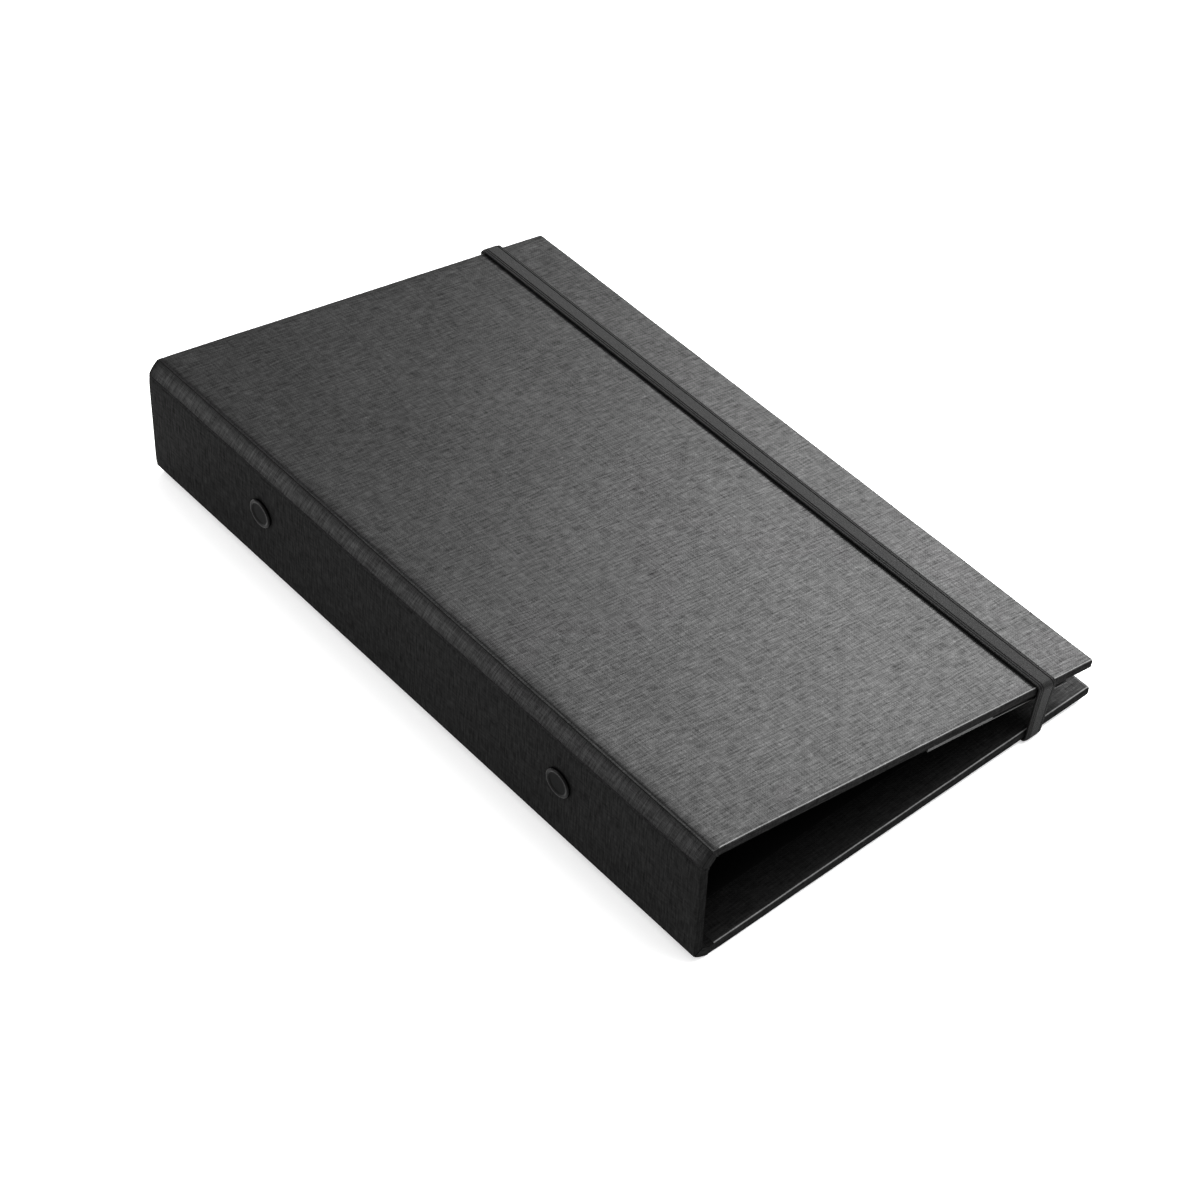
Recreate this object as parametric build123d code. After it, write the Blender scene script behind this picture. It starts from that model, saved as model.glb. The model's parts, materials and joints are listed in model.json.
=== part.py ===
from build123d import *
import os
from math import asin, atan2, cos, degrees, hypot, radians, sin

# A cloth-covered ring case for loose drawing sheets, closed and lying on its back cover.
# Case coordinates: x from the outer face of the spine, y along the spine, z up from the table.

# Case
case_length = 230.0          # along the spine
front_reach = 143.8          # spine face to the fore edge of the front cover
back_reach = 144.6           # spine face to the fore edge of the back cover
spine_foot = 3.0             # height of the lower spine crease
spine_top = 37.3             # height of the upper spine crease
fore_edge_height = 15.3      # top of the front cover at the fore edge
front_strip_width = 5.6      # hinge strip, crease to crease
front_strip_angle = 48.5     # upper hinge strip above level
back_strip_width = 6.0
wall = 3.0                   # cloth, board and lining together
cloth = 0.35
turn_in = 12.0               # cloth folded over onto the inside
cloth_relief = 0.25          # cloth stops short of a crease line by this

# Boards stop short of each crease so that they clear each other in the closed case.
front_cover_relief = 1.8
front_spine_relief = 1.3
back_spine_relief = 1.85
back_cover_relief = 1.0

# Elastic strap
strap_width = 6.8
strap_thick = 1.1
strap_reach = 123.8          # spine face to the middle of the strap on the front cover
strap_foot_reach = 121.7     # the same where it turns under the back cover
strap_foot_width = 6.0
strap_recess = 0.15          # depth of the pressed channel under the back cover
strap_gap = 0.1              # strap to the head and tail edges
strap_play = 0.15            # room round the strap ends in the back cover
slot_inset = 14.0            # anchor slot from the head and tail edges
slot_thick = 1.4
tab_length = 10.0

# Inner pocket on the front cover
pocket_start = 79.0          # along the front cover from its crease
pocket_end = 134.5
pocket_tail = -114.0
pocket_head = -38.0
pocket_gap = 1.6
pocket_card = 0.5
pocket_tab_reach = 25.0
pocket_tab_width = 4.0
pocket_glue_width = 5.0

# Ring mechanism
ring_pitch = 80.0
rivet_pitch = 125.6
mech_height = 23.2           # middle of the mechanism above the table
plate_half = 69.0            # half length of the arched plate
plate_stand_off = 0.3        # plate's long edges to the spine lining
plate_half_width = 9.0
plate_side = 1.8             # height of the plate's straight side walls
plate_rise = 3.4             # height of the arch over them
plate_thick = 0.7
ring_slot_width = 3.2
ring_slot_inner = 2.2        # ring slot from the plate's middle line
ring_slot_outer = 8.0
ear_length = 7.0             # lever ears, beyond and over the plate's ends
ear_height = 4.2
ear_thick = 0.9
ear_reach = 6.2              # ears from the plate's middle line
blade_stand_off = 1.1
blade_thick = 0.8
blade_half = 67.0
blade_outer = 7.9            # carrier blade's outer edge, its pivot, from the middle line
blade_split = 0.2
blade_hole_play = 0.65
ring_radius = 9.0
wire_radius = 1.1
ring_end_angle = 148.0       # angle round the ring from its tip to its foot
tip_gap = 0.15
rivet_head_radius = 4.45
rivet_head_thick = 1.0
rivet_head_round = 0.55
shank_radius = 2.0
hole_radius = 2.05
post_radius = 2.75
post_length = 3.9
clinch_radius = 3.2
clinch_thick = 1.0
clinch_stand_off = 5.05      # clinch under its head, from the spine lining
lever_pin_y = 71.0
lever_pin_stand_off = 2.5
pin_radius = 1.0
pin_length = 13.6
pin_fit = 0.02
lever_fit = 0.05
lever_rise = 25.0
lever_length = 13.0
lever_width = 9.0
lever_thick = 1.2
lever_lip = 3.4
lever_hub_radius = 1.8

half = case_length / 2
x_shift = -(back_reach - rivet_head_thick) / 2
tail_proud = strap_thick - strap_recess
back_crease_x = (back_strip_width**2 - spine_foot**2) ** 0.5
back_tilt = asin(tail_proud / (strap_foot_reach - strap_foot_width / 2 - back_crease_x))
plate_foot = wall + plate_stand_off
blade_x = wall + blade_stand_off
lever_pin_x = wall + lever_pin_stand_off
clinch_x = wall + clinch_stand_off
ring_centre_x = blade_x + blade_thick / 2 + ring_radius


def slope(start, end):
    """Frame of one wall: u from start to end along the outer face, z outwards."""
    along = Vector(end[0] - start[0], 0, end[1] - start[1]).normalized()
    return Plane(origin=(start[0], 0, start[1]), x_dir=along, z_dir=Vector(-along.Z, 0, along.X))


def span(start, end):
    return hypot(end[0] - start[0], end[1] - start[1])


back_fore = (back_reach, (back_reach - back_crease_x) * sin(back_tilt))
back_crease = (back_crease_x, 0.0)
spine_low = (0.0, spine_foot)
spine_high = (0.0, spine_top)
front_crease = (
    front_strip_width * cos(radians(front_strip_angle)),
    spine_top + front_strip_width * sin(radians(front_strip_angle)),
)
front_fore = (front_reach, fore_edge_height)
front_slope = atan2(front_crease[1] - fore_edge_height, front_reach - front_crease[0])

# Every wall is drawn from its lower or spine-side crease, with its outer face on the frame.
front_frame = slope(front_crease, front_fore)
front_width = span(front_crease, front_fore)
front_strip_frame = slope(spine_high, front_crease)
spine_frame = slope(spine_low, spine_high)
spine_width = span(spine_low, spine_high)
back_strip_frame = slope(back_crease, spine_low)
back_frame = slope(back_fore, back_crease)
back_width = span(back_crease, back_fore)

strap_u = (strap_reach - front_crease[0]) / cos(front_slope)
foot_u = back_width - (strap_foot_reach - back_crease_x) / cos(back_tilt)
strap_near = foot_u - strap_foot_width / 2
strap_far = foot_u + strap_foot_width / 2


def slab(frame, u0, u1, y0, y1, d0, d1):
    """Block between depths d0 and d1 under the outer face of a wall."""
    block = Box(abs(u1 - u0), abs(y1 - y0), abs(d1 - d0))
    return frame.location * Pos((u0 + u1) / 2, (y0 + y1) / 2, -(d0 + d1) / 2) * block


def wall_pieces(frame, width, start_relief, end_relief):
    """Cloth, board and lining of one wall; a relief of None is a free edge with its turn-in."""
    start = cloth if start_relief is None else start_relief
    end = width - (cloth if end_relief is None else end_relief)
    cloth_start = 0.0 if start_relief is None else cloth_relief
    cloth_end = width if end_relief is None else width - cloth_relief
    board = slab(frame, start, end, cloth - half, half - cloth, cloth, wall - cloth)
    skin = slab(frame, cloth_start, cloth_end, -half, half, 0, wall) - board
    lining_start = turn_in if start_relief is None else start
    lining_end = width - turn_in if end_relief is None else end
    lining = slab(frame, lining_start, lining_end, turn_in - half, half - turn_in, wall - cloth, wall)
    skin -= lining
    if start_relief is not None:
        skin -= slab(frame, -1, start, -half - 1, half + 1, cloth, wall + 1)
    if end_relief is not None:
        skin -= slab(frame, end, width + 1, -half - 1, half + 1, cloth, wall + 1)
    return board, skin, lining


def elastic_strap():
    """Strap over the front cover and down both ends, narrowing where it turns under."""
    near = strap_u - strap_width / 2
    far = strap_u + strap_width / 2
    end_face = half + strap_gap
    outer = end_face + strap_thick
    strap = slab(front_frame, near, far, -outer, outer, -strap_thick, 0)
    corners = [front_frame.from_local_coords((u, 0, 0)) for u in (near, far)]
    feet = [back_frame.from_local_coords((u, 0, -strap_recess)) for u in (strap_near, strap_far)]
    outline = [(p.X, p.Z) for p in (*corners, *feet)]
    for side in (-1, 1):
        plane = Plane(origin=(0, side * end_face, 0), x_dir=(1, 0, 0), z_dir=(0, -1, 0))
        strap += extrude(plane * make_face(Polyline(*outline, close=True)), amount=-side * strap_thick)
    return strap


def strap_tail(side):
    """End of the strap: under the back cover, up through its slot and glued on the board."""
    outer = side * (half + strap_gap + strap_thick)
    slot = side * (half - slot_inset)
    slot_back = slot - side * strap_thick
    tab_end = slot_back - side * tab_length
    seat = wall - cloth
    under = slab(back_frame, strap_near, strap_far, outer, slot_back, -tail_proud, strap_recess)
    riser = slab(back_frame, strap_near, strap_far, slot, slot_back, 0, seat)
    tab = slab(back_frame, strap_near, strap_far, tab_end, slot, seat - strap_thick, seat)
    return under + riser + tab


def strap_room(side):
    """Channel, slot and tab seat cut into the back cover for one strap end."""
    near = strap_near - strap_play
    far = strap_far + strap_play
    outer = side * (half + 1)
    slot = side * (half - slot_inset)
    slot_back = slot - side * slot_thick
    tab_end = slot - side * (strap_thick + tab_length + strap_play)
    seat = wall - cloth
    channel = slab(back_frame, near, far, outer, slot_back, -1, strap_recess)
    slot_cut = slab(back_frame, near, far, slot + side * strap_play, slot_back, -1, seat)
    tab_seat = slab(back_frame, near, far, tab_end, slot, seat - strap_thick - strap_play, seat)
    return channel + slot_cut + tab_seat


def pocket_pieces():
    """Card pocket on the inside of the front cover, open towards the fore edge."""
    card_top = wall + pocket_gap
    card_foot = card_top + pocket_card
    glue_end = pocket_start + pocket_glue_width
    tab_end = pocket_start + pocket_tab_reach
    tab_head = pocket_tail + pocket_tab_width
    glue_tail = pocket_head - pocket_glue_width
    panel = slab(front_frame, pocket_start, pocket_end, pocket_tail, pocket_head, card_top, card_foot)
    side_strip = slab(front_frame, pocket_start, glue_end, pocket_tail, pocket_head, wall, card_top)
    head_strip = slab(front_frame, pocket_start, pocket_end, glue_tail, pocket_head, wall, card_top)
    tail_tab = slab(front_frame, pocket_start, tab_end, pocket_tail, tab_head, wall, card_top)
    return panel, side_strip + head_strip + tail_tab


def along_x(radius, x0, x1, y, z):
    """Round bar along x."""
    return Pos((x0 + x1) / 2, y, z) * Rot(0, 90, 0) * Cylinder(radius, x1 - x0)


def ring_plate():
    """Arched spring-steel plate with ring slots, rivet holes and ears for the lever pins."""
    arch_foot = plate_foot + plate_side
    arch_top = arch_foot + plate_rise
    arch_radius = (plate_half_width**2 + plate_rise**2) / (2 * plate_rise)
    outside = Cylinder(arch_radius, 2 * plate_half)
    inside = Cylinder(arch_radius - plate_thick, 2 * plate_half + 2)
    plate = Pos(arch_top - arch_radius, 0, mech_height) * Rot(90, 0, 0) * (outside - inside)
    keep = Box(2 * plate_rise, 2 * plate_half, 2 * plate_half_width)
    plate &= Pos(arch_foot + plate_rise, 0, mech_height) * keep
    for side in (-1, 1):
        wall_z = mech_height + side * (plate_half_width - plate_thick / 2)
        side_wall = Box(plate_side, 2 * plate_half, plate_thick)
        plate += Pos(plate_foot + plate_side / 2, 0, wall_z) * side_wall
    slot_height = ring_slot_outer - ring_slot_inner
    slot_z = (ring_slot_outer + ring_slot_inner) / 2
    ring_slot = Box(2 * plate_rise, ring_slot_width, slot_height)
    for y in (-ring_pitch / 2, ring_pitch / 2):
        for side in (-1, 1):
            plate -= Pos(arch_foot + plate_thick, y, mech_height + side * slot_z) * ring_slot
    for y in (-rivet_pitch / 2, rivet_pitch / 2):
        plate -= along_x(hole_radius, arch_foot, arch_top + 1, y, mech_height)
    ear_x = plate_foot + ear_height / 2
    pin_bore = Cylinder(pin_radius + pin_fit, pin_length)
    for end in (-1, 1):
        for side in (-1, 1):
            ear_y = end * (plate_half + ear_length / 2 - 2)
            ear = Pos(ear_x, ear_y, mech_height + side * ear_reach) * Box(ear_height, ear_length, ear_thick)
            plate += ear - Pos(lever_pin_x, end * lever_pin_y, mech_height) * pin_bore
    return plate


def blade(side):
    """Carrier blade under one half of the arched plate."""
    inner = mech_height + side * blade_split
    outer = mech_height + side * blade_outer
    strip = Box(blade_thick, 2 * blade_half, blade_outer - blade_split)
    piece = Pos(blade_x + blade_thick / 2, 0, (inner + outer) / 2) * strip
    for y in (-rivet_pitch / 2, rivet_pitch / 2):
        piece -= along_x(post_radius + blade_hole_play, wall, clinch_x, y, mech_height)
    return piece


def ring_half(side, y):
    """Half of a round ring, from its tip to its foot on the blade."""
    centre = Vector(ring_centre_x, y, mech_height)
    start = degrees(tip_gap / ring_radius)

    def at(angle):
        a = radians(angle)
        return centre + Vector(ring_radius * cos(a), 0, side * ring_radius * sin(a))

    arc = ThreePointArc(at(start), at((start + ring_end_angle) / 2), at(ring_end_angle))
    wire = sweep(Plane(origin=arc @ 0, z_dir=arc % 0) * Circle(wire_radius), path=arc)
    foot = arc @ 1
    leg = along_x(wire_radius, blade_x + blade_thick, foot.X + wire_radius / 3, y, foot.Z)
    return wire + leg


def rivet(y):
    """Spine rivet: low round head outside, shank, and clinched tail on the plate."""
    head = along_x(rivet_head_radius, -rivet_head_thick, 0, y, mech_height)
    rim = head.edges().filter_by(GeomType.CIRCLE).sort_by(Axis.X)[0]
    head = fillet(rim, rivet_head_round)
    shank = along_x(shank_radius, -rivet_head_thick / 2, clinch_x + clinch_thick / 2, y, mech_height)
    clinch = along_x(clinch_radius, clinch_x, clinch_x + clinch_thick, y, mech_height)
    return head + shank + clinch


def post(y):
    """Sleeve that carries the plate off the spine."""
    sleeve = along_x(post_radius, wall, wall + post_length, y, mech_height)
    return sleeve - along_x(hole_radius, 0, clinch_x, y, mech_height)


def lever(end):
    """Opening lever on its pin, raised at rest and turned up at the tip."""
    arm = Pos(lever_length / 2, 0, 0) * Box(lever_length, lever_thick, lever_width)
    lip = Pos(lever_length - lever_thick / 2, -lever_thick, 0) * Box(lever_thick, lever_lip, lever_width)
    hub = Cylinder(lever_hub_radius, lever_width)
    bore = Cylinder(pin_radius + lever_fit, lever_width + 2)
    turned = Rot(0, 0, 90 - lever_rise) * (arm + lip + hub - bore)
    placed = turned if end > 0 else mirror(turned, about=Plane.XZ)
    return Pos(lever_pin_x, end * lever_pin_y, mech_height) * placed


def save(name, shape):
    export_step(Pos(x_shift, 0, 0) * shape, f"parts/{name}.step")


os.makedirs("parts", exist_ok=True)

# Walls, each as board, cloth and lining
front_board, front_cloth, front_lining = wall_pieces(front_frame, front_width, front_cover_relief, None)
front_strip = wall_pieces(front_strip_frame, front_strip_width, front_spine_relief, front_cover_relief)
spine_board, spine_cloth, spine_lining = wall_pieces(
    spine_frame, spine_width, back_spine_relief, front_spine_relief
)
back_strip = wall_pieces(back_strip_frame, back_strip_width, back_cover_relief, back_spine_relief)
back_board, back_cloth, back_lining = wall_pieces(back_frame, back_width, None, back_cover_relief)

for side in (-1, 1):
    back_board -= strap_room(side)
    back_cloth -= strap_room(side)
for y in (-rivet_pitch / 2, rivet_pitch / 2):
    rivet_hole = along_x(hole_radius, -1, wall + 1, y, mech_height)
    spine_board -= rivet_hole
    spine_cloth -= rivet_hole
    spine_lining -= rivet_hole

save("front_board", front_board)
save("front_cover_cloth", front_cloth)
save("front_lining", front_lining)
for strip_name, strip in (("front_hinge", front_strip), ("back_hinge", back_strip)):
    for layer, shape in zip(("strip", "cloth", "lining"), strip):
        save(f"{strip_name}_{layer}", shape)
save("spine_board", spine_board)
save("spine_cloth", spine_cloth)
save("spine_lining", spine_lining)
save("back_board", back_board)
save("back_cover_cloth", back_cloth)
save("back_lining", back_lining)

# Pocket and strap
pocket_panel, pocket_gusset = pocket_pieces()
save("pocket_panel", pocket_panel)
save("pocket_gusset", pocket_gusset)
save("elastic_strap", elastic_strap())
save("strap_tails", Compound([strap_tail(-1), strap_tail(1)]))

# Ring mechanism
save("ring_plate", ring_plate())
save("upper_blade", blade(1))
save("lower_blade", blade(-1))
for ring_name, y in (("near_ring", -ring_pitch / 2), ("far_ring", ring_pitch / 2)):
    save(f"{ring_name}_upper_half", ring_half(1, y))
    save(f"{ring_name}_lower_half", ring_half(-1, y))
save("near_lever", lever(-1))
save("far_lever", lever(1))
pin = Cylinder(pin_radius, pin_length)
pins = [Pos(lever_pin_x, end * lever_pin_y, mech_height) * pin for end in (-1, 1)]
save("lever_pins", Compound(pins))
save("spine_rivets", Compound([rivet(y) for y in (-rivet_pitch / 2, rivet_pitch / 2)]))
save("ring_posts", Compound([post(y) for y in (-rivet_pitch / 2, rivet_pitch / 2)]))
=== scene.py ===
import json
import math
import bmesh
import bpy
from mathutils import Matrix, Vector, noise


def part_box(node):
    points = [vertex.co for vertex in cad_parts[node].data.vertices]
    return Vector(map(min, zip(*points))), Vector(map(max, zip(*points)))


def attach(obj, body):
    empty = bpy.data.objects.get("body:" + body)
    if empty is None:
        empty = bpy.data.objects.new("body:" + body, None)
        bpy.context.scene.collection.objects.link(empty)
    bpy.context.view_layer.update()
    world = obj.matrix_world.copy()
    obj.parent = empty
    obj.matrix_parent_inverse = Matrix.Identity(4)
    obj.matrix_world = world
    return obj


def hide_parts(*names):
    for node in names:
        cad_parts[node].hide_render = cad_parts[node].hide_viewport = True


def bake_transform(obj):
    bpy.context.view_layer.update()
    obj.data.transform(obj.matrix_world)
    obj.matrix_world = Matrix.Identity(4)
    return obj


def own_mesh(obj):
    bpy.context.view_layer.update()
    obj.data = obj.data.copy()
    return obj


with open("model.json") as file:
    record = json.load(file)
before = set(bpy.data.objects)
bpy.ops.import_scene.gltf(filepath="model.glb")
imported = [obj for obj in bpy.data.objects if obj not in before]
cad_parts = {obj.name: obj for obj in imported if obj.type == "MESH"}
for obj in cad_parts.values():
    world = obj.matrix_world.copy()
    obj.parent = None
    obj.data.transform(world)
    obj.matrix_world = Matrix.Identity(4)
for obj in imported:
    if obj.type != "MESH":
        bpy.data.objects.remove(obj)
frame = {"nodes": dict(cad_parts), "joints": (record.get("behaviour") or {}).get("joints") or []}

noise.seed_set(5)  # the unevenness is the same on every run
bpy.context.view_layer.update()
joints = {joint["name"]: Vector(joint["pos_m"]) for joint in frame["joints"] if "pos_m" in joint}
mm = 0.001

# walls of the case, from crease to crease, as seen from the near end
case = {
    "wall": 3.0 * mm,
    "turnIn": 12 * mm,
    "foreEdgeTop": 15.3 * mm,  # height of the front cover's fore edge
    "backForeLift": 1.17 * mm,
    "creaseGap": 0.4 * mm,  # cloth-covered edge to the crease line
    "edgeRound": 0.85 * mm,
    "reliefReach": 6.0 * mm,
    "easeReach": 3.4 * mm,
    "ease": 0.26 * mm,
}
backCrease = joints["back_strip_fold"]
spineLow = joints["spine_fold"]
spineHigh = joints["front_strip_fold"]
frontCrease = joints["front_cover_fold"]
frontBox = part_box("front_cover_cloth")
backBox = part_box("back_cover_cloth")
frontFore = Vector((frontBox[1].x, 0, case["foreEdgeTop"]))
backFore = Vector((backBox[1].x, 0, case["backForeLift"]))
halfLength = frontBox[1].y


def clearSelection():
    if bpy.context.mode != "OBJECT":
        bpy.ops.object.mode_set(mode="OBJECT")
    bpy.ops.object.select_all(action="DESELECT")


def work(thing):
    clearSelection()
    thing.select_set(True)
    bpy.context.view_layer.objects.active = thing


def named(name):
    # the object that the last operator added
    thing = bpy.context.object
    thing.name = name
    thing.data.name = name
    return thing


def pickFaces(thing, test=None):
    # edit mode with only the faces that pass the test selected, or all of them
    work(thing)
    bpy.ops.object.mode_set(mode="EDIT")
    bpy.ops.mesh.select_mode(type="FACE")
    bpy.ops.mesh.select_all(action="DESELECT")
    mesh = bmesh.from_edit_mesh(thing.data)
    for face in mesh.faces:
        if test is None or test(face):
            face.select_set(True)
    mesh.select_flush_mode()
    bmesh.update_edit_mesh(thing.data)


def leaveEdit():
    bpy.ops.object.mode_set(mode="OBJECT")


def modify(thing, kind, **settings):
    work(thing)
    modifier = thing.modifiers.new(kind.title(), kind)
    for key, value in settings.items():
        setattr(modifier, key, value)
    bpy.ops.object.modifier_apply(modifier=modifier.name)


def fixPlace(thing):
    work(thing)
    bpy.ops.object.transform_apply(location=True, rotation=True, scale=True)


def smooth(thing, degrees=40):
    work(thing)
    bpy.ops.object.shade_smooth_by_angle(angle=math.radians(degrees))


def faceOut(thing):
    pickFaces(thing)
    bpy.ops.mesh.normals_make_consistent(inside=False)
    leaveEdit()


def roughen(thing, amount, size, across=None):
    # hand-made unevenness: points drift by up to amount over about size
    for vertex in thing.data.vertices:
        drift = noise.noise_vector(vertex.co / size)
        if across is not None:
            drift = across * drift.dot(across)
        vertex.co += drift * amount


def wallMatrix(start, end):
    # x runs from start to end, y along the spine, z out of the case
    along = (end - start).normalized()
    outward = Vector((-along.z, 0, along.x))
    turn = Matrix((along, Vector((0, 1, 0)), outward)).transposed()
    return Matrix.Translation(start) @ turn.to_4x4()


def clothMap(thing):
    # a flat map in metres for every side of a board drawn in its wall's own axes
    layer = thing.data.uv_layers.new(name="cloth")
    for face in thing.data.polygons:
        normal = face.normal
        for corner in face.loop_indices:
            point = thing.data.vertices[thing.data.loops[corner].vertex_index].co
            if abs(normal.z) > 0.5:
                place = (point.x, point.y)
            elif abs(normal.x) > abs(normal.y):
                place = (point.x + point.z, point.y)
            else:
                place = (point.x, point.y + point.z)
            layer.data[corner].uv = place


class Flow:
    # wraps one node output, so that patterns are written as sums
    def __init__(self, tree, socket):
        self.tree = tree
        self.socket = socket

    def maths(self, operation, first, second=0.0):
        return node(self.tree, "ShaderNodeMath", {"operation": operation}, {0: first, 1: second})

    def __add__(self, other):
        return self.maths("ADD", self, other)

    def __sub__(self, other):
        return self.maths("SUBTRACT", self, other)

    def __rsub__(self, other):
        return self.maths("SUBTRACT", other, self)

    def __mul__(self, other):
        return self.maths("MULTIPLY", self, other)

    def sine(self):
        return self.maths("SINE", self)

    def clipped(self, low, high):
        settings = {"clamp": True}
        return node(self.tree, "ShaderNodeMapRange", settings, {0: self, 1: low, 2: high, 3: 0.0, 4: 1.0})

    __radd__ = __add__
    __rmul__ = __mul__


def node(tree, kind, settings=None, sockets=None, output=0):
    made = tree.nodes.new(kind)
    for key, value in (settings or {}).items():
        if key == "stops":
            ramp = made.color_ramp
            while len(ramp.elements) < len(value):
                ramp.elements.new(0.5)
            for element, (position, colour) in zip(ramp.elements, value):
                element.position = position
                element.color = colour
        else:
            setattr(made, key, value)
    for key, value in (sockets or {}).items():
        if isinstance(value, Flow):
            tree.links.new(value.socket, made.inputs[key])
        else:
            made.inputs[key].default_value = value
    return Flow(tree, made.outputs[output])


def mixColour(tree, share, first, second):
    settings = {"data_type": "RGBA"}
    return node(tree, "ShaderNodeMix", settings, {0: share, 6: first, 7: second}, 2)


def stretched(tree, coordinates, x, y, z=1.0):
    sockets = {"Vector": coordinates, "Scale": (x, y, z)}
    return node(tree, "ShaderNodeMapping", None, sockets)


def cloud(tree, coordinates, scale, detail=3.0, rough=0.55):
    sockets = {"Vector": coordinates, "Scale": scale, "Detail": detail, "Roughness": rough}
    return node(tree, "ShaderNodeTexNoise", None, sockets)


def split(tree, coordinates):
    # x and y of a map
    return [node(tree, "ShaderNodeSeparateXYZ", None, {0: coordinates}, i) for i in range(2)]


def bump(tree, height, distance, strength=1.0):
    sockets = {"Height": height, "Distance": distance, "Strength": strength}
    return node(tree, "ShaderNodeBump", None, sockets)


def startMaterial(name):
    material = bpy.data.materials.new(name)
    material.use_nodes = True
    tree = material.node_tree
    tree.nodes.clear()
    return material, tree


def finishMaterial(tree, sockets):
    surface = node(tree, "ShaderNodeBsdfPrincipled", None, sockets)
    out = tree.nodes.new("ShaderNodeOutputMaterial")
    tree.links.new(surface.socket, out.inputs["Surface"])


def objectPlace(tree):
    return node(tree, "ShaderNodeTexCoord", None, None, "Object")


def grey(level, warm=0.0):
    return (level * (1 + warm), level, level * (1 - warm), 1.0)


def bookClothMaterial(name, shine):
    look = {
        "thread": 0.46 * mm,
        "wander": 90.0,  # scale of the noise that bends the threads
        "weftWander": 0.35 * mm,
        "warpWander": 0.30 * mm,
        "weftSlub": (190, 1900),  # noise cells to the metre, across and along
        "warpSlub": (1700, 230),
        "weftShare": 0.62,
        "fleck": (700, 1100),
        "fleckFrom": 0.66,
        "fleckTo": 0.80,
        "cloudy": 28.0,
        "dark": grey(0.003),
        "light": grey(0.024),
        # painted highlight: a pale grey laid along the covers' top edges near their ends, where the
        # rounded edge would catch the light
        "paintedHighlight": grey(0.26),
        "slubTone": 1.60,
        "weaveTone": 0.13,
        "cloudTone": 0.16,
        "fleckTone": 0.28,
        "weaveHeight": 0.55,
        "slubHeight": 1.5,
        "height": 0.16 * mm,
        "roughness": 0.5,
        "roughnessSpread": 0.25,
        "coatRoughness": 0.42,
        "endShine": 0.2,  # share of the shine that is left on the flat ends
    }
    material, tree = startMaterial(name)
    cloth = node(tree, "ShaderNodeUVMap", {"uv_map": "cloth"})
    wander = cloud(tree, cloth, look["wander"], 2.0)
    across, along = split(tree, cloth)
    turn = 2 * math.pi / look["thread"]
    weft = ((along + wander * look["weftWander"]) * turn).sine()
    warp = ((across + wander * look["warpWander"]) * turn).sine()
    over = ((across + along) * (turn / 2)).sine() * 0.5 + 0.5  # which thread lies on top
    weave = weft * 0.5 * over + warp * 0.5 * (1 - over)
    weftSlub = cloud(tree, stretched(tree, cloth, *look["weftSlub"]), 1.0, 2.5, 0.6)
    warpSlub = cloud(tree, stretched(tree, cloth, *look["warpSlub"]), 1.0, 2.0, 0.6)
    fleckNoise = cloud(tree, stretched(tree, cloth, *look["fleck"]), 1.0, 1.0)
    fleck = fleckNoise.clipped(look["fleckFrom"], look["fleckTo"])
    cloudy = cloud(tree, cloth, look["cloudy"], 3.0)
    slub = weftSlub * look["weftShare"] + warpSlub * (1 - look["weftShare"])
    tone = (slub - 0.5) * look["slubTone"] + 0.5 + weave * look["weaveTone"]
    tone = tone + (cloudy - 0.5) * look["cloudTone"] + fleck * look["fleckTone"]
    height = weave * look["weaveHeight"] + (slub - 0.5) * look["slubHeight"]
    # the attribute is 1 on the painted highlight line and -1 on the flat ends, whose coat is dulled
    rub = node(tree, "ShaderNodeAttribute", {"attribute_name": "rub"}, None, "Fac")
    paintedHighlight = (rub * (0.45 + slub * 0.9)).clipped(0.2, 1.0)
    dull = (rub + 1.0).clipped(0.0, 1.0) * (1 - look["endShine"]) + look["endShine"]
    colour = mixColour(tree, tone.clipped(0.0, 1.0), look["dark"], look["light"])
    colour = mixColour(tree, paintedHighlight, colour, look["paintedHighlight"])
    finishMaterial(tree, {
        "Base Color": colour,
        "Roughness": look["roughness"] + (0.5 - slub) * look["roughnessSpread"],
        "Normal": bump(tree, height, look["height"]),
        "Specular IOR Level": 0.0,  # the threads shine through the coat only
        "Coat Weight": (tone * shine * dull).clipped(0.0, 1.0),
        "Coat Roughness": look["coatRoughness"],
    })
    return material


def liningMaterial():
    look = {
        "fibre": 900.0,
        "mottle": 60.0,
        "dark": grey(0.002),
        "light": grey(0.005),
        "roughness": 0.5,
        "height": 0.03 * mm,
    }
    material, tree = startMaterial("liningPaper")
    cloth = node(tree, "ShaderNodeUVMap", {"uv_map": "cloth"})
    fibre = cloud(tree, cloth, look["fibre"], 4.0, 0.7)
    mottle = cloud(tree, cloth, look["mottle"], 3.0)
    colour = mixColour(tree, fibre * 0.6 + mottle * 0.4, look["dark"], look["light"])
    finishMaterial(tree, {
        "Base Color": colour,
        "Roughness": look["roughness"] + (mottle - 0.5) * 0.12,
        "Specular IOR Level": 0.1,
        "Normal": bump(tree, fibre, look["height"], 0.6),
    })
    return material


def cardMaterial():
    look = {
        "fibre": 1100.0,
        "mottle": (300, 60, 300),
        "dark": grey(0.014),
        "light": grey(0.030),
        "roughness": 0.56,
        "height": 0.04 * mm,
    }
    material, tree = startMaterial("pocketCard")
    place = objectPlace(tree)
    fibre = cloud(tree, place, look["fibre"], 4.0, 0.7)
    mottle = cloud(tree, stretched(tree, place, *look["mottle"]), 1.0, 3.0)
    colour = mixColour(tree, fibre * 0.5 + mottle * 0.5, look["dark"], look["light"])
    finishMaterial(tree, {
        "Base Color": colour,
        "Roughness": look["roughness"] + (mottle - 0.5) * 0.15,
        "Normal": bump(tree, fibre, look["height"], 0.5),
    })
    return material


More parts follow.
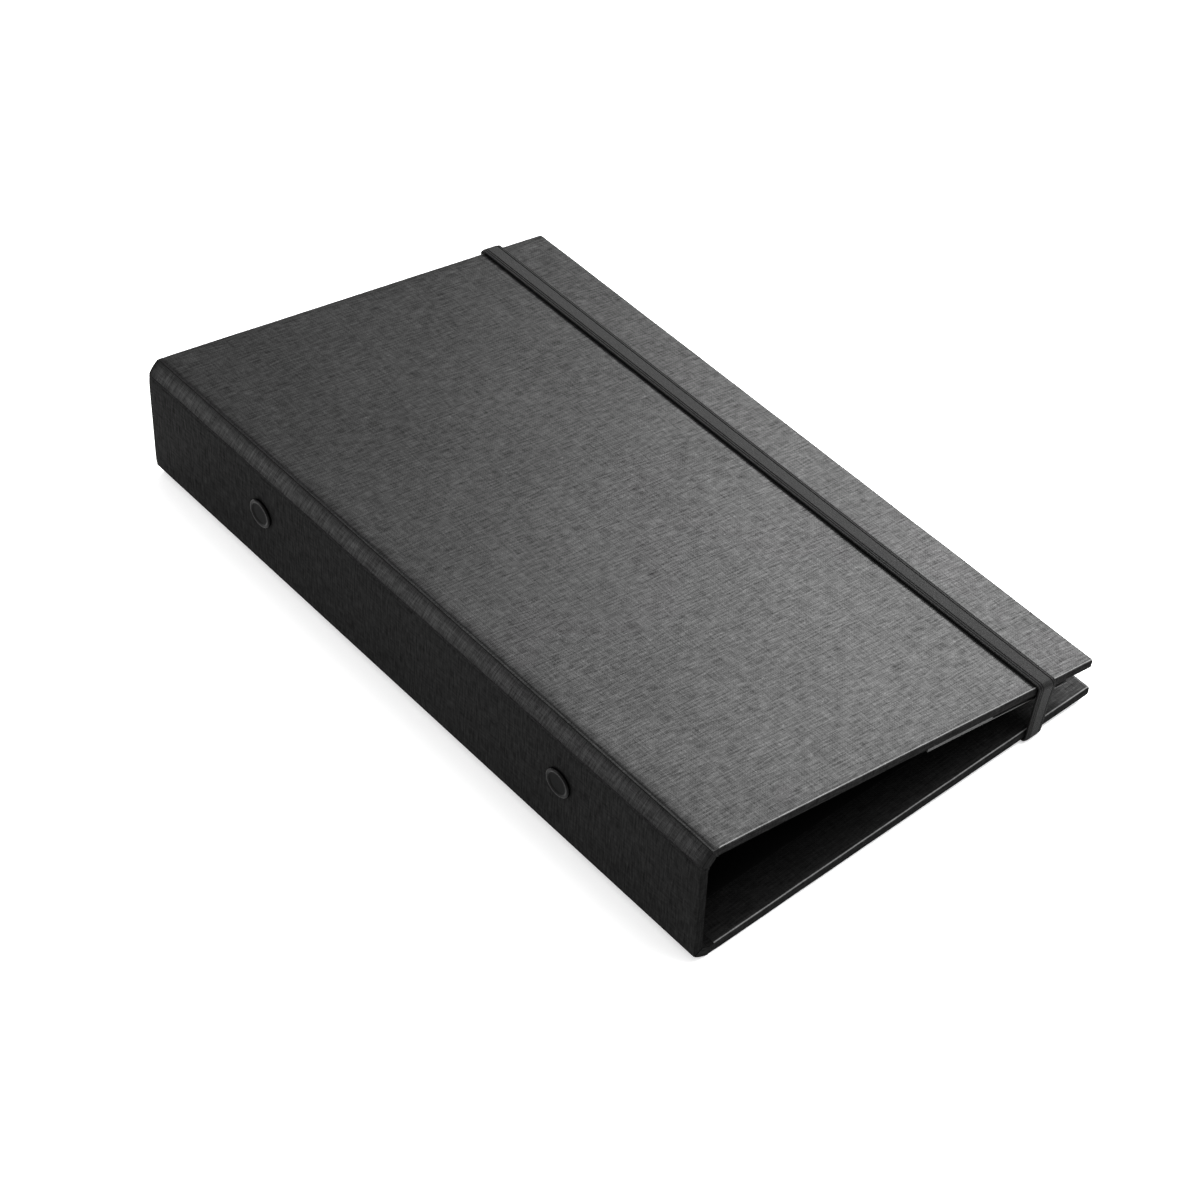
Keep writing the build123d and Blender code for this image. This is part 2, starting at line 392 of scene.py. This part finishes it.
def elasticMaterial():
    # ribs run along the strap, fine covered threads across it; the grooves between the ribs and the
    # strap's edges are painted darker as painted shade
    look = {
        "thread": 0.55 * mm,
        "columns": 12,  # knitted columns over the width
        "columnLead": 1.6,
        "grooveHalf": 0.035,
        "fuzz": (60, 900),
        "dark": grey(0.002),
        "light": grey(0.016),
        "roughness": 0.68,
        "height": 0.10 * mm,
    }
    material, tree = startMaterial("elasticWebbing")
    strap = node(tree, "ShaderNodeUVMap", {"uv_map": "strap"})
    across, along = split(tree, strap)
    # painted shade: the ramp goes dark in each groove and halfway dark at the strap's edges
    stops = [(0.0, grey(0.5))]
    for at in strapLook["grooves"]:
        stops.append((at - look["grooveHalf"], grey(1.0)))
        stops.append((at, grey(0.0)))
        stops.append((at + look["grooveHalf"], grey(1.0)))
    stops.append((1.0, grey(0.5)))
    paintedGrooveShade = node(tree, "ShaderNodeValToRGB", {"stops": stops}, {0: across})
    wander = cloud(tree, strap, 40.0, 2.0)
    columns = (across * (2 * math.pi * look["columns"])).sine()
    pickTurn = along * (2 * math.pi / look["thread"]) + columns * look["columnLead"] + wander
    picks = pickTurn.sine() * 0.5 + 0.5
    fuzz = cloud(tree, stretched(tree, strap, *look["fuzz"]), 1.0, 3.0, 0.7)
    tone = paintedGrooveShade * 0.42 + picks * 0.2 + columns * 0.06 + (fuzz - 0.5) * 0.6 - 0.04
    colour = mixColour(tree, tone.clipped(0.0, 1.0), look["dark"], look["light"])
    finishMaterial(tree, {
        "Base Color": colour,
        "Roughness": look["roughness"] + (0.5 - fuzz) * 0.2,
        "Normal": bump(tree, picks * 0.6 + fuzz * 0.5, look["height"], 0.8),
        "Specular IOR Level": 0.2,
    })
    return material


def lacquerMaterial(name, shine, rough):
    look = {
        "orangePeel": 900.0,
        "peelHeight": 0.01 * mm,
        "wear": 260.0,
        "wearFrom": 0.62,
        "wearTo": 0.78,
        "dark": grey(0.003),
        "light": grey(0.012),
    }
    material, tree = startMaterial(name)
    place = objectPlace(tree)
    orangePeel = cloud(tree, place, look["orangePeel"], 2.0)
    wear = cloud(tree, place, look["wear"], 5.0, 0.7).clipped(look["wearFrom"], look["wearTo"])
    colour = mixColour(tree, wear * 0.35, look["dark"], look["light"])
    finishMaterial(tree, {
        "Base Color": colour,
        "Roughness": rough + wear * 0.2,
        "Normal": bump(tree, orangePeel, look["peelHeight"], 0.4),
        "Specular IOR Level": shine,
    })
    return material


def steelMaterial(name, tone, rough, streaks):
    material, tree = startMaterial(name)
    place = objectPlace(tree)
    streak = cloud(tree, stretched(tree, place, *streaks), 1.0, 4.0, 0.65)
    smudge = cloud(tree, place, 120.0, 4.0, 0.6)
    dark = grey(tone * 0.82, 0.01)
    light = grey(tone * 1.1, 0.012)
    colour = mixColour(tree, streak * 0.6 + smudge * 0.4, dark, light)
    finishMaterial(tree, {
        "Base Color": colour,
        "Metallic": 1.0,
        "Roughness": rough + (streak - 0.5) * 0.14 + (smudge - 0.5) * 0.1,
        "Normal": bump(tree, streak, 0.006 * mm, 0.5),
    })
    return material


view = {
    "azimuth": -42.806,
    "elevation": 45.506,
    "roll": 2.774,
    "place": (-0.41988, -0.45043, 0.61956),
    "lens": 93.957,
    "sensor": 36,
    "clipStart": 0.01,
}


def addCamera():
    azimuth = math.radians(view["azimuth"])
    elevation = math.radians(view["elevation"])
    roll = math.radians(view["roll"])
    level = math.cos(elevation)
    back = Vector((math.sin(azimuth) * level, -math.cos(azimuth) * level, math.sin(elevation)))
    right = Vector((0, 0, 1)).cross(back).normalized()
    up = back.cross(right)
    rightRolled = right * math.cos(roll) + up * math.sin(roll)
    upRolled = up * math.cos(roll) - right * math.sin(roll)
    turn = Matrix((rightRolled, upRolled, back)).transposed().to_4x4()
    bpy.ops.object.camera_add()
    camera = bpy.context.object
    camera.name = "studioCamera"
    camera.matrix_world = Matrix.Translation(view["place"]) @ turn
    camera.data.lens = view["lens"]
    camera.data.sensor_width = view["sensor"]
    camera.data.clip_start = view["clipStart"]
    bpy.context.scene.camera = camera


floorLook = {
    "size": 30,
    "drop": 0.2 * mm,  # below the case, so that the two never share a plane
    "tooth": 400.0,
    "dark": grey(0.90),
    "light": grey(0.93),
    "glow": 0.30,
}


def addFloor():
    look = floorLook
    bpy.ops.mesh.primitive_plane_add(size=look["size"], location=(0, 0, -look["drop"]))
    floor = named("studioFloor")
    material, tree = startMaterial("studioPaper")
    tooth = cloud(tree, objectPlace(tree), look["tooth"], 3.0)
    colour = mixColour(tree, tooth, look["dark"], look["light"])
    finishMaterial(tree, {
        "Base Color": colour,
        "Roughness": 0.9,
        "Specular IOR Level": 0.2,
        "Emission Color": grey(1.0),
        "Emission Strength": look["glow"],
    })
    floor.data.materials.append(material)


lightAim = Vector((0, 0, 0.02))  # the middle of the case
lights = {
    "rightSoftbox": {"place": (1.14, 0.42, 0.66), "size": (0.70, 0.55), "energy": 25.0},
    "edgeSoftbox": {"place": (0.50, -0.44, 1.40), "size": (0.90, 0.90), "energy": 15.0},
    "leftRearSoftbox": {"place": (-1.25, 0.88, 0.55), "size": (0.80, 0.50), "energy": 8.0},
}
worldLook = {"colour": grey(0.95), "strength": 0.75}


def addLights():
    for name, light in lights.items():
        bpy.ops.object.light_add(type="AREA", location=light["place"])
        lamp = bpy.context.object
        lamp.name = name
        lamp.data.shape = "RECTANGLE"
        lamp.data.size, lamp.data.size_y = light["size"]
        lamp.data.energy = light["energy"]
        towards = lightAim - Vector(light["place"])
        lamp.rotation_euler = towards.to_track_quat("-Z", "Y").to_euler()
    world = bpy.data.worlds.new("studio")
    world.use_nodes = True
    background = world.node_tree.nodes["Background"]
    background.inputs["Color"].default_value = worldLook["colour"]
    background.inputs["Strength"].default_value = worldLook["strength"]
    bpy.context.scene.world = world
    bpy.context.scene.view_settings.view_transform = "Standard"
    bpy.context.scene.view_settings.look = "Medium High Contrast"


clearSelection()
addCamera()
addFloor()
addLights()
print("stage: camera, floor and lights")

boards = {
    "frontCover": {
        "start": frontCrease,
        "end": frontFore,
        "startRelief": 1.8 * mm,
        "endRelief": 0,
        "columns": 46,
        "body": "front_cover",
        "nodes": ("front_board", "front_cover_cloth"),
    },
    "frontStrip": {
        "start": spineHigh,
        "end": frontCrease,
        "startRelief": 1.3 * mm,
        "endRelief": 1.8 * mm,
        "columns": 10,
        "body": "front_hinge",
        "nodes": ("front_hinge_strip", "front_hinge_cloth"),
    },
    "spine": {
        "start": spineLow,
        "end": spineHigh,
        "startRelief": 1.85 * mm,
        "endRelief": 1.3 * mm,
        "columns": 16,
        "body": "spine",
        "nodes": ("spine_board", "spine_cloth"),
    },
    "backStrip": {
        "start": backCrease,
        "end": spineLow,
        "startRelief": 1.0 * mm,
        "endRelief": 1.85 * mm,
        "columns": 10,
        "body": "back_hinge",
        "nodes": ("back_hinge_strip", "back_hinge_cloth"),
    },
    "backCover": {
        "start": backFore,
        "end": backCrease,
        "startRelief": 0,
        "endRelief": 1.0 * mm,
        "columns": 46,
        "body": "back_cover",
        "nodes": ("back_board", "back_cover_cloth"),
    },
}
boardLook = {
    "rows": 72,
    "crowding": 0.6,  # how far the columns crowd towards the long edges
    "bevelSteps": 4,
    "edgeAngle": math.radians(35),
    "swell": 0.07 * mm,  # waves out of the wall, and their size
    "swellSize": 0.030,
    "drift": 0.06 * mm,  # smaller unevenness every way
    "driftSize": 0.012,
    "endFlat": 0.15 * mm,  # this near to the end is the flat of the end
    "highlightSkin": 0.16 * mm,
    "highlightFrom": 0.38 * mm,  # the painted highlight line's inset from the end
    "highlightTo": 0.68 * mm,
}


def standBack(board, span, reliefs):
    # the inner edges stand back, so that the creases can fold
    taper = min(case["reliefReach"], span / 2)
    for relief, edge, way in reliefs:
        for vertex in board.data.vertices:
            if relief and vertex.co.z < -case["wall"] / 2:
                near = max(0.0, 1 - abs(vertex.co.x - edge) / taper)
                vertex.co.x += way * (relief - case["creaseGap"]) * near


def easeDown(board, span, reliefs):
    # the outer cloth eases down towards the creases
    reach = min(case["easeReach"], span / 2)
    for vertex in board.data.vertices:
        for relief, edge, _ in reliefs:
            near = max(0.0, 1 - abs(vertex.co.x - edge) / reach)
            if relief and vertex.co.z > -case["wall"] / 2:
                vertex.co.z -= case["ease"] * near * near


def markHighlightAndDullEnds(board, name):
    # 1 on the painted highlight line near a cover's ends, -1 on the flat ends, which keep their dull
    # cloth
    look = boardLook
    rub = board.data.attributes.new("rub", "FLOAT", "POINT")
    for vertex, share in zip(board.data.vertices, rub.data):
        skin = -vertex.co.z if name == "frontCover" else vertex.co.z + case["wall"]
        inset = halfLength - abs(vertex.co.y)
        onSkin = name.endswith("Cover") and skin < look["highlightSkin"]
        if inset < look["endFlat"]:
            share.value = -1.0
        elif onSkin and look["highlightFrom"] < inset < look["highlightTo"]:
            share.value = 1.0


def coveredBoard(name, wall):
    look = boardLook
    width = (wall["end"] - wall["start"]).length
    low = case["creaseGap"] if wall["startRelief"] else 0
    high = width - (case["creaseGap"] if wall["endRelief"] else 0)
    span = high - low
    reliefs = ((wall["startRelief"], low, 1), (wall["endRelief"], high, -1))
    clearSelection()
    bpy.ops.mesh.primitive_grid_add(x_subdivisions=wall["columns"], y_subdivisions=look["rows"], size=1)
    board = named(name)
    board.scale = (span, 2 * halfLength, 1)
    board.location = ((low + high) / 2, 0, 0)
    fixPlace(board)
    for vertex in board.data.vertices:
        share = (vertex.co.x - low) / span
        crowd = look["crowding"] * math.sin(2 * math.pi * share) / (2 * math.pi)
        vertex.co.x = low + span * (share - crowd)
    modify(board, "SOLIDIFY", thickness=case["wall"], offset=-1)
    standBack(board, span, reliefs)
    modify(
        board,
        "BEVEL",
        width=case["edgeRound"],
        segments=look["bevelSteps"],
        limit_method="ANGLE",
        angle_limit=look["edgeAngle"],
        use_clamp_overlap=True,
    )
    clothMap(board)
    easeDown(board, span, reliefs)
    roughen(board, look["swell"], look["swellSize"], Vector((0, 0, 1)))
    roughen(board, look["drift"], look["driftSize"])
    markHighlightAndDullEnds(board, name)
    board.data.transform(wallMatrix(wall["start"], wall["end"]))
    smooth(board, 50)
    return board


coverCloth = bookClothMaterial("coverCloth", 0.62)
spineCloth = bookClothMaterial("spineCloth", 0.16)
for name, wall in boards.items():
    board = coveredBoard(name, wall)
    board.data.materials.append(spineCloth if name == "spine" else coverCloth)
    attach(board, wall["body"])
    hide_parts(*wall["nodes"])
print("stage: covered boards")

creases = {
    # name: (wall before, wall after)
    "backCoverCrease": ("backCover", "backStrip"),
    "backSpineCrease": ("backStrip", "spine"),
    "frontSpineCrease": ("spine", "frontStrip"),
    "frontCoverCrease": ("frontStrip", "frontCover"),
}
creaseLook = {
    "reach": 1.9 * mm,  # how far the cloth runs in under the boards' own cloth
    "sink": 0.34 * mm,
    "groove": 0.34 * mm,  # cloth below the outer faces, at the crease line
    "liningReach": 1.1 * mm,
    "liningProud": 0.10 * mm,
    "endInset": 0.22 * mm,
    "foldHalf": 0.06 * mm,  # half of the width across the crease line where the real cloth bends
}


def creaseCloth(name, before, after):
    look = creaseLook
    point = before["end"]
    back = (before["start"] - point).normalized()
    ahead = (after["end"] - point).normalized()
    outBefore = Vector((back.z, 0, -back.x))
    outAfter = Vector((-ahead.z, 0, ahead.x))
    outward = (outBefore + outAfter).normalized()
    bend = outward.dot(outBefore)
    depth = case["wall"] + look["liningProud"]
    backRelief = before["endRelief"]
    aheadRelief = after["startRelief"]
    outline = [
        point + back * look["reach"] - outBefore * look["sink"],
        point + back * look["groove"] - outBefore * look["sink"],
        point - outward * look["groove"],
        point + ahead * look["groove"] - outAfter * look["sink"],
        point + ahead * look["reach"] - outAfter * look["sink"],
        point + ahead * (aheadRelief + look["liningReach"]) - outAfter * depth,
        point + ahead * aheadRelief - outAfter * depth,
        point - outward * (depth / bend),
        point + back * backRelief - outBefore * depth,
        point + back * (backRelief + look["liningReach"]) - outBefore * depth,
    ]
    clearSelection()
    bpy.ops.mesh.primitive_circle_add(vertices=len(outline), radius=0.01, fill_type="NGON")
    crease = named(name)
    for vertex, place in zip(crease.data.vertices, outline):
        vertex.co = Vector((place.x, look["endInset"] - halfLength, place.z))
    pickFaces(crease)
    run = (0, 2 * (halfLength - look["endInset"]), 0)
    bpy.ops.mesh.extrude_region_move(TRANSFORM_OT_translate={"value": run})
    leaveEdit()
    faceOut(crease)
    clothMap(crease)
    smooth(crease, 30)
    crease.data.materials.append(spineCloth)
    half = (ahead - back).normalized() * look["foldHalf"]
    point - half
    point + half
    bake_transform(crease)


for name, (before, after) in creases.items():
    creaseCloth(name, boards[before], boards[after])
print("stage: creases")

linings = {
    # name: (wall, CAD node)
    "frontLining": ("frontCover", "front_lining"),
    "frontStripLining": ("frontStrip", "front_hinge_lining"),
    "spineLining": ("spine", "spine_lining"),
    "backStripLining": ("backStrip", "back_hinge_lining"),
    "backLining": ("backCover", "back_lining"),
}
liningLook = {
    "gap": 0.15 * mm,  # short of a board's inner edge
    "thick": 0.45 * mm,
    "proud": 0.12 * mm,
    "rows": 40,
    "edgeRound": 0.1 * mm,
    "swell": 0.05 * mm,
    "swellSize": 0.02,
}
liningPaper = liningMaterial()


def liningSheet(name, wall, cadNode):
    look = liningLook
    width = (wall["end"] - wall["start"]).length
    low = wall["startRelief"] + look["gap"] if wall["startRelief"] else case["turnIn"]
    high = width - (wall["endRelief"] + look["gap"] if wall["endRelief"] else case["turnIn"])
    columns = max(2, wall["columns"] // 2)
    clearSelection()
    bpy.ops.mesh.primitive_grid_add(x_subdivisions=columns, y_subdivisions=look["rows"], size=1)
    sheet = named(name)
    sheet.scale = (high - low, 2 * (halfLength - case["turnIn"]), 1)
    sheet.location = ((low + high) / 2, 0, -case["wall"] - look["proud"])
    fixPlace(sheet)
    modify(sheet, "SOLIDIFY", thickness=look["thick"], offset=1)
    modify(
        sheet,
        "BEVEL",
        width=look["edgeRound"],
        segments=2,
        limit_method="ANGLE",
        angle_limit=boardLook["edgeAngle"],
    )
    clothMap(sheet)
    roughen(sheet, look["swell"], look["swellSize"], Vector((0, 0, 1)))
    sheet.data.transform(wallMatrix(wall["start"], wall["end"]))
    smooth(sheet)
    sheet.data.materials.append(liningPaper)
    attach(sheet, wall["body"])
    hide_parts(cadNode)


for name, (wall, cadNode) in linings.items():
    liningSheet(name, boards[wall], cadNode)
print("stage: linings")

pocketLook = {
    "thick": 0.5 * mm,
    "bow": 0.35 * mm,
    "bowFar": 0.4,  # share of the bow that is left at the far end
    "columns": 20,
    "rows": 28,
    "edgeRound": 0.12 * mm,
}
pocketCard = cardMaterial()


def pocketPanel():
    look = pocketLook
    wall = boards["frontCover"]
    fromWall = wallMatrix(wall["start"], wall["end"])
    toWall = fromWall.inverted()
    points = [toWall @ vertex.co for vertex in frame["nodes"]["pocket_panel"].data.vertices]
    low = Vector([min(point[i] for point in points) for i in range(3)])
    high = Vector([max(point[i] for point in points) for i in range(3)])
    clearSelection()
    bpy.ops.mesh.primitive_grid_add(x_subdivisions=look["columns"], y_subdivisions=look["rows"], size=1)
    panel = named("pocketPanel")
    panel.scale = (high.x - low.x, high.y - low.y, 1)
    panel.location = ((low.x + high.x) / 2, (low.y + high.y) / 2, high.z)
    fixPlace(panel)
    modify(panel, "SOLIDIFY", thickness=look["thick"], offset=-1)
    modify(
        panel,
        "BEVEL",
        width=look["edgeRound"],
        segments=2,
        limit_method="ANGLE",
        angle_limit=boardLook["edgeAngle"],
    )
    for vertex in panel.data.vertices:  # the free edge droops a little from the glued ones
        free = (vertex.co.x - low.x) / (high.x - low.x)
        nearEnd = 1 - (vertex.co.y - low.y) / (high.y - low.y)
        vertex.co.z -= look["bow"] * free * free * (look["bowFar"] + (1 - look["bowFar"]) * nearEnd)
    panel.data.transform(fromWall)
    smooth(panel)
    panel.data.materials.append(pocketCard)
    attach(panel, "front_cover")
    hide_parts("pocket_panel")


pocketPanel()
gusset = frame["nodes"]["pocket_gusset"]
gusset.data.materials.clear()
gusset.data.materials.append(pocketCard)
print("stage: pocket")

strapLook = {
    "thick": 1.0 * mm,
    "width": 6.8 * mm,
    "footWidth": 6.0 * mm,
    "grooves": (0.09, 0.20, 0.80, 0.91),  # shares of the width
    "grooveDepth": 0.20 * mm,
    "grooveHalf": 0.024,
    "edgeThin": 0.55,  # how much thinner the edges are
    "columns": 61,
    "bend": 1.2 * mm,  # radius at the covers' edges
    "overlap": 1.5 * mm,
    "slotInset": 14 * mm,  # slot in the back cover, from its end
    "shiftTop": 0.9 * mm,
    "lift": 0.05 * mm,  # clear of the front cover's cloth
    "endGap": 0.12 * mm,
    "hollow": 0.10 * mm,  # the rise draws in by this much
    "flattened": 0.3,  # on the real strap, the height left when the front cover is open
    "underSteps": 6,
    "bendSteps": 8,
    "riseSteps": 14,
    "overSteps": 90,
    "tailBendSteps": 6,
    "tailSteps": 12,
    "tailFixed": 3 * mm,  # on the real strap, this much from the slot stays with the back cover
    "tailFree": 1 * mm,
}
down = Vector((0, 0, -1))
elasticWebbing = elasticMaterial()


def ribbonProfile():
    # (share of the width, lift from the middle) once round the strap's section
    look = strapLook
    last = look["columns"] - 1
    profile = []
    for face in (1, -1):
        for i in range(look["columns"]):
            share = (i if face > 0 else last - i) / last
            cut = sum(math.exp(-(((share - at) / look["grooveHalf"]) ** 2)) for at in look["grooves"])
            edge = 1 - look["edgeThin"] * abs(2 * share - 1) ** 8
            profile.append((share, (look["thick"] / 2 * edge - cut * look["grooveDepth"]) * face))
    return profile


def ribbon(name, stations):
    # stations: (middle, across, outward, width) along the strap, from one end to the other
    profile = ribbonProfile()
    count = len(profile)
    mesh = bmesh.new()
    uv = mesh.loops.layers.uv.new("strap")
    rings = []
    walked = 0.0
    last = None
    for middle, across, outward, width in stations:
        walked += (middle - last).length if last else 0.0
        last = middle
        ring = []
        for share, lift in profile:
            ring.append(mesh.verts.new(middle + across * (share - 0.5) * width + outward * lift))
        rings.append((ring, walked))
    for (ring, near), (following, far) in zip(rings, rings[1:]):
        for i in range(count):
            j = (i + 1) % count
            face = mesh.faces.new([ring[i], ring[j], following[j], following[i]])
            places = ((i, near), (j, near), (j, far), (i, far))
            for loop, (corner, at) in zip(face.loops, places):
                loop[uv].uv = (profile[corner][0], at)
    mesh.faces.new(rings[0][0][::-1])
    mesh.faces.new(rings[-1][0])
    bmesh.ops.recalc_face_normals(mesh, faces=mesh.faces)
    data = bpy.data.meshes.new(name)
    mesh.to_mesh(data)
    mesh.free()
    strap = bpy.data.objects.new(name, data)
    bpy.context.scene.collection.objects.link(strap)
    smooth(strap, 60)
    strap.data.materials.append(elasticWebbing)
    return strap


def strapPath():
    look = strapLook
    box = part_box("elastic_strap")
    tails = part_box("strap_tails")
    frontTurn = wallMatrix(boards["frontCover"]["start"], boards["frontCover"]["end"]).to_3x3()
    topAcross = frontTurn @ Vector((1, 0, 0))
    topOut = frontTurn @ Vector((0, 0, 1))
    topX = (box[0].x + box[1].x) / 2 + look["shiftTop"]
    reach = (topX - frontCrease.x) / topAcross.x
    footX = (tails[0].x + tails[1].x) / 2
    return {
        "top": frontCrease + topAcross * reach + topOut * (look["thick"] / 2 + look["lift"]),
        "topAcross": topAcross,
        "topOut": topOut,
        "foot": Vector((footX, 0, tails[0].z + look["thick"] / 2)),
        "footAcross": (boards["backCover"]["start"] - boards["backCover"]["end"]).normalized(),
        "endY": halfLength + look["endGap"] + look["thick"] / 2,
    }


def strapEnd(path, side):
    # from under the back cover, up one end, to the top of the front cover
    look = strapLook
    top = path["top"]
    topOut = path["topOut"]
    foot = path["foot"]
    bend = look["bend"]
    bendY = path["endY"] - bend
    tuckY = halfLength - look["overlap"] * 2
    low = foot.z + bend
    high = top.z - bend
    run = []
    for step in range(look["underSteps"]):
        y = tuckY + (bendY - tuckY) * step / look["underSteps"]
        run.append((Vector((foot.x, side * y, foot.z)), path["footAcross"], down, look["footWidth"]))
    for step in range(look["bendSteps"] + 1):  # round the back cover's edge
        turn = math.pi / 2 * step / look["bendSteps"]
        y = bendY + bend * math.sin(turn)
        z = low - bend * math.cos(turn)
        out = Vector((0, side * math.sin(turn), -math.cos(turn)))
        run.append((Vector((foot.x, side * y, z)), path["footAcross"], out, look["footWidth"]))
    for step in range(1, look["riseSteps"]):  # widening on the way up
        share = step / look["riseSteps"]
        x = foot.x + (top.x - foot.x) * share
        y = path["endY"] - look["hollow"] * math.sin(share * math.pi)
        z = low + (high - low) * share
        across = path["footAcross"].lerp(path["topAcross"], share).normalized()
        width = look["footWidth"] + (look["width"] - look["footWidth"]) * share
        run.append((Vector((x, side * y, z)), across, Vector((0, side, 0)), width))
    for step in range(look["bendSteps"] + 1):  # round the front cover's edge
        turn = math.pi / 2 * step / look["bendSteps"]
        y = bendY + bend * math.cos(turn)
        z = high + topOut.z * bend * math.sin(turn)
        out = Vector((0, side * math.cos(turn), 0)) + topOut * math.sin(turn)
        run.append((Vector((top.x, side * y, z)), path["topAcross"], out.normalized(), look["width"]))
    return run


def strapOver(path):
    # over the front cover and down both ends, to just under the back cover
    look = strapLook
    top = path["top"]
    bendY = path["endY"] - look["bend"]
    stations = strapEnd(path, -1)
    for step in range(1, look["overSteps"]):
        y = -bendY + 2 * bendY * step / look["overSteps"]
        stations.append((Vector((top.x, y, top.z)), path["topAcross"], path["topOut"], look["width"]))
    stations += strapEnd(path, 1)[::-1]
    strap = ribbon("elasticStrap", stations)
    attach(strap, "strap")
    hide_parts("elastic_strap")
    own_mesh(strap)


def strapTail(name, side, path):
    # from the strap's end under the back cover and up into its slot
    look = strapLook
    foot = path["foot"]
    bend = look["bend"]
    slotY = halfLength - look["slotInset"]
    bendY = slotY + bend
    endY = halfLength - look["overlap"]
    stations = []
    for step in range(look["tailBendSteps"] + 1):
        turn = math.pi / 2 * (1 - step / look["tailBendSteps"])
        y = bendY - bend * math.sin(turn)
        z = foot.z + bend - bend * math.cos(turn)
        out = Vector((0, -side * math.sin(turn), -math.cos(turn)))
        stations.append((Vector((foot.x, side * y, z)), path["footAcross"], out, look["footWidth"]))
    for step in range(1, look["tailSteps"] + 1):
        y = bendY + (endY - bendY) * step / look["tailSteps"]
        stations.append((Vector((foot.x, side * y, foot.z)), path["footAcross"], down, look["footWidth"]))
    tail = ribbon(name, stations)
    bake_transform(tail)
    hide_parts("strap_tails")


path = strapPath()
strapOver(path)
strapTail("nearStrapTail", -1, path)
strapTail("farStrapTail", 1, path)
print("stage: strap")

rivetLook = {
    "radius": 4.45 * mm,
    "height": 1.0 * mm,
    "rim": 0.60 * mm,
    "rimInset": 0.90 * mm,
    "dish": 0.34 * mm,
    "dishSlope": 0.45 * mm,
    "boss": 1.2 * mm,  # from the dish's edge to the raised middle
    "bossRise": 0.068 * mm,
    "dullInset": 1.14 * mm,  # the dull lacquer starts this far in
    "bevelSteps": 5,
    "shank": 2.0 * mm,
    "tail": 3.2 * mm,
    "tailThick": 1.0 * mm,
}
blackLacquer = lacquerMaterial("blackLacquer", 0.10, 0.24)
dullLacquer = lacquerMaterial("dullLacquer", 0.05, 0.5)


def rivetHead(name, y, z, faceX, tailX):
    # a low pressed cap: rounded rim, shallow dish, slightly raised middle
    look = rivetLook
    acrossSpine = (0, math.pi / 2, 0)
    clearSelection()
    bpy.ops.mesh.primitive_cylinder_add(
        vertices=64,
        radius=look["radius"],
        depth=look["height"],
        end_fill_type="NGON",
        location=(faceX - look["height"] / 2, y, z),
        rotation=acrossSpine,
    )
    head = named(name)
    fixPlace(head)

    def isCap(face):
        offset = face.calc_center_median().x - (faceX - look["height"])
        return abs(offset) < 1e-6 and abs(face.normal.x) > 0.9

    pickFaces(head, isCap)
    bpy.ops.mesh.inset(thickness=look["rimInset"])
    bpy.ops.mesh.inset(thickness=look["dishSlope"])
    bpy.ops.transform.translate(value=(look["dish"], 0, 0))
    bpy.ops.mesh.inset(thickness=look["boss"])
    bpy.ops.transform.translate(value=(-look["bossRise"], 0, 0))
    leaveEdit()
    modify(
        head,
        "BEVEL",
        width=look["rim"],
        segments=look["bevelSteps"],
        limit_method="ANGLE",
        angle_limit=math.radians(50),
    )
    modify(head, "SUBSURF", levels=1, render_levels=1)
    faceOut(head)
    for radius, near, far in (
        (look["shank"], faceX - look["height"] / 2, tailX),
        (look["tail"], tailX - look["tailThick"], tailX),
    ):
        bpy.ops.object.mode_set(mode="EDIT")
        bpy.ops.mesh.primitive_cylinder_add(
            vertices=40,
            radius=radius,
            depth=far - near,
            location=((near + far) / 2, y, z),
            rotation=acrossSpine,
        )
        leaveEdit()
    smooth(head, 60)
    return head


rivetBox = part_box("spine_rivets")
rivetReach = rivetBox[1].y - rivetLook["radius"]
rivetZ = (rivetBox[0].z + rivetBox[1].z) / 2
for name, side in (("nearRivetHead", -1), ("farRivetHead", 1)):
    head = rivetHead(name, side * rivetReach, rivetZ, spineLow.x, rivetBox[1].x)
    head.data.materials.append(blackLacquer)
    head.data.materials.append(dullLacquer)
    middle = Vector((0, side * rivetReach, rivetZ))
    for face in head.data.polygons:
        away = (face.center - middle) * Vector((0, 1, 1))
        if away.length < rivetLook["radius"] - rivetLook["dullInset"] and face.center.x < spineLow.x:
            face.material_index = 1
    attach(head, "spine")
    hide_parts("spine_rivets")
print("stage: rivets")

finishes = {
    "nickelPlate": {
        "tone": 0.62,
        "rough": 0.20,
        "streaks": (500, 40, 500),
        "nodes": ("ring_plate", "near_lever", "far_lever"),
    },
    "ringWire": {
        "tone": 0.68,
        "rough": 0.12,
        "streaks": (300, 300, 300),
        "nodes": (
            "near_ring_upper_half",
            "near_ring_lower_half",
            "far_ring_upper_half",
            "far_ring_lower_half",
        ),
    },
    "springSteel": {
        "tone": 0.46,
        "rough": 0.34,
        "streaks": (900, 60, 900),
        "nodes": ("upper_blade", "lower_blade", "lever_pins", "ring_posts"),
    },
}
for name, finish in finishes.items():
    metal = steelMaterial(name, finish["tone"], finish["rough"], finish["streaks"])
    for cadNode in finish["nodes"]:
        mesh = frame["nodes"][cadNode].data
        mesh.materials.clear()
        mesh.materials.append(metal)
print("stage: ring mechanism")

clearSelection()
